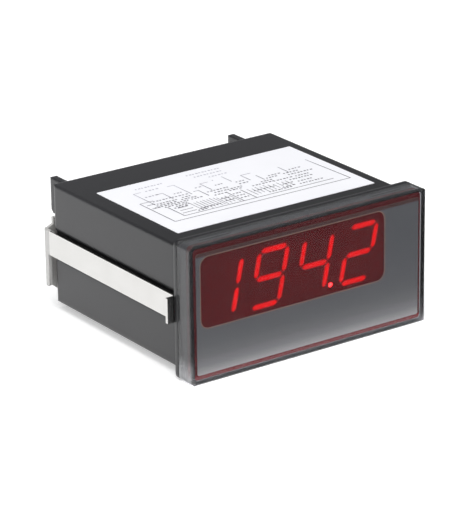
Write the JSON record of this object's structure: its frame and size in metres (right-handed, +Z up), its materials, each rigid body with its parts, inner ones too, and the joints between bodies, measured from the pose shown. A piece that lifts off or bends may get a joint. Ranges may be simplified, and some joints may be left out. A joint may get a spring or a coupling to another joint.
{
  "type": "digital panel meter",
  "caption": "Panel meter with red glowing digits behind a clear push-fit front, a black case in a sliding steel clamp bracket, and a row of screw terminals at the rear.",
  "frame": {"origin": "centre of the panel cut-out, on the rear face of the flange, where the front of the panel lies", "axes": "+X to the right seen from the front, +Y into the panel towards the terminals, +Z up"},
  "size_m": [0.1008, 0.0959, 0.048],
  "materials": {
    "case_black": "satin moulded",
    "clear_cap": "clear polished",
    "overlay_grey": "printed film",
    "red_filter": "tinted clear",
    "label_white": "printed polyester",
    "digit_body": "moulded",
    "segment_lit": "glowing diffuser",
    "segment_dark": "unlit diffuser",
    "tinned_pin": "tinned",
    "board_green": "solder resist",
    "header_black": "moulded",
    "gold_pin": "gold flashed",
    "core_steel": "varnished laminations",
    "coil_copper": "enamelled wire",
    "bobbin_cream": "moulded",
    "chip_black": "moulded",
    "can_steel": "drawn",
    "sleeve_blue": "shrunk sleeve",
    "diode_black": "moulded",
    "resistor_tan": "lacquered",
    "sink_aluminium": "extruded",
    "terminal_grey": "moulded",
    "clamp_brass": "plated",
    "screw_zinc": "zinc plated",
    "bracket_steel": "bright zinc plated",
    "insert_brass": "turned"
  },
  "bodies": {
    "meter": {"case": "case_black", "front_cap": "clear_cap", "overlay": "overlay_grey", "red_filter": "red_filter", "label": "label_white", "digit_1": "digit_body", "digit_2": "digit_body", "digit_3": "digit_body", "digit_4": "digit_body", "lit_segments": "segment_lit", "dark_segments": "segment_dark", "digit_pins": "tinned_pin", "display_board": "board_green", "main_board": "board_green", "rear_board": "board_green", "front_header": "header_black", "rear_header": "header_black", "header_pins": "gold_pin", "transformer_core": "core_steel", "transformer_coil": "coil_copper", "transformer_bobbin": "bobbin_cream", "converter_chip": "chip_black", "driver_chips": "chip_black", "crystal": "can_steel", "capacitors": "sleeve_blue", "diodes": "diode_black", "resistors": "resistor_tan", "regulator": "chip_black", "heat_sink": "sink_aluminium", "terminal_block": "terminal_grey", "terminal_clamps": "clamp_brass", "board_screws": "screw_zinc", "trimmer": "bobbin_cream", "screw_inserts": "insert_brass"},
    "clamp_bracket": {"bracket": "bracket_steel"},
    "screw_left": {"clamp_screw_left": "screw_zinc"},
    "screw_right": {"clamp_screw_right": "screw_zinc"},
    "trimmer_adjuster": {"trimmer_rotor": "screw_zinc"},
    "terminal_1": {"terminal_screw_1": "screw_zinc"},
    "terminal_2": {"terminal_screw_2": "screw_zinc"},
    "terminal_3": {"terminal_screw_3": "screw_zinc"},
    "terminal_4": {"terminal_screw_4": "screw_zinc"},
    "terminal_5": {"terminal_screw_5": "screw_zinc"},
    "terminal_6": {"terminal_screw_6": "screw_zinc"},
    "terminal_7": {"terminal_screw_7": "screw_zinc"},
    "terminal_8": {"terminal_screw_8": "screw_zinc"},
    "terminal_9": {"terminal_screw_9": "screw_zinc"}
  },
  "joints": [
    {"name": "bracket_slide", "type": "slide", "parent": "meter", "child": "clamp_bracket", "axis": [0, 1, 0], "range_m": [0, 0.006]},
    {"name": "clamp_screw_left_turn", "type": "hinge", "parent": "clamp_bracket", "child": "screw_left", "pos_m": [-0.0405, 0.081, -0.007], "axis": [0, 1, 0], "continuous": true},
    {"name": "clamp_screw_right_turn", "type": "hinge", "parent": "clamp_bracket", "child": "screw_right", "pos_m": [0.0405, 0.081, -0.007], "axis": [0, 1, 0], "continuous": true},
    {"name": "terminal_screw_1_turn", "type": "hinge", "parent": "meter", "child": "terminal_1", "pos_m": [-0.03398, 0.0802, 0.0145], "axis": [0, 0, 1], "continuous": true},
    {"name": "terminal_screw_2_turn", "type": "hinge", "parent": "meter", "child": "terminal_2", "pos_m": [-0.02636, 0.0802, 0.0145], "axis": [0, 0, 1], "continuous": true},
    {"name": "terminal_screw_3_turn", "type": "hinge", "parent": "meter", "child": "terminal_3", "pos_m": [-0.01874, 0.0802, 0.0145], "axis": [0, 0, 1], "continuous": true},
    {"name": "terminal_screw_4_turn", "type": "hinge", "parent": "meter", "child": "terminal_4", "pos_m": [-0.01112, 0.0802, 0.0145], "axis": [0, 0, 1], "continuous": true},
    {"name": "terminal_screw_5_turn", "type": "hinge", "parent": "meter", "child": "terminal_5", "pos_m": [-0.0035, 0.0802, 0.0145], "axis": [0, 0, 1], "continuous": true},
    {"name": "terminal_screw_6_turn", "type": "hinge", "parent": "meter", "child": "terminal_6", "pos_m": [0.00412, 0.0802, 0.0145], "axis": [0, 0, 1], "continuous": true},
    {"name": "terminal_screw_7_turn", "type": "hinge", "parent": "meter", "child": "terminal_7", "pos_m": [0.01174, 0.0802, 0.0145], "axis": [0, 0, 1], "continuous": true},
    {"name": "terminal_screw_8_turn", "type": "hinge", "parent": "meter", "child": "terminal_8", "pos_m": [0.01936, 0.0802, 0.0145], "axis": [0, 0, 1], "continuous": true},
    {"name": "terminal_screw_9_turn", "type": "hinge", "parent": "meter", "child": "terminal_9", "pos_m": [0.02698, 0.0802, 0.0145], "axis": [0, 0, 1], "continuous": true},
    {"name": "trimmer_turn", "type": "hinge", "parent": "meter", "child": "trimmer_adjuster", "pos_m": [0.0402, 0.0725, 0.0136], "axis": [0, 1, 0], "range_deg": [-115, 115]}
  ]
}
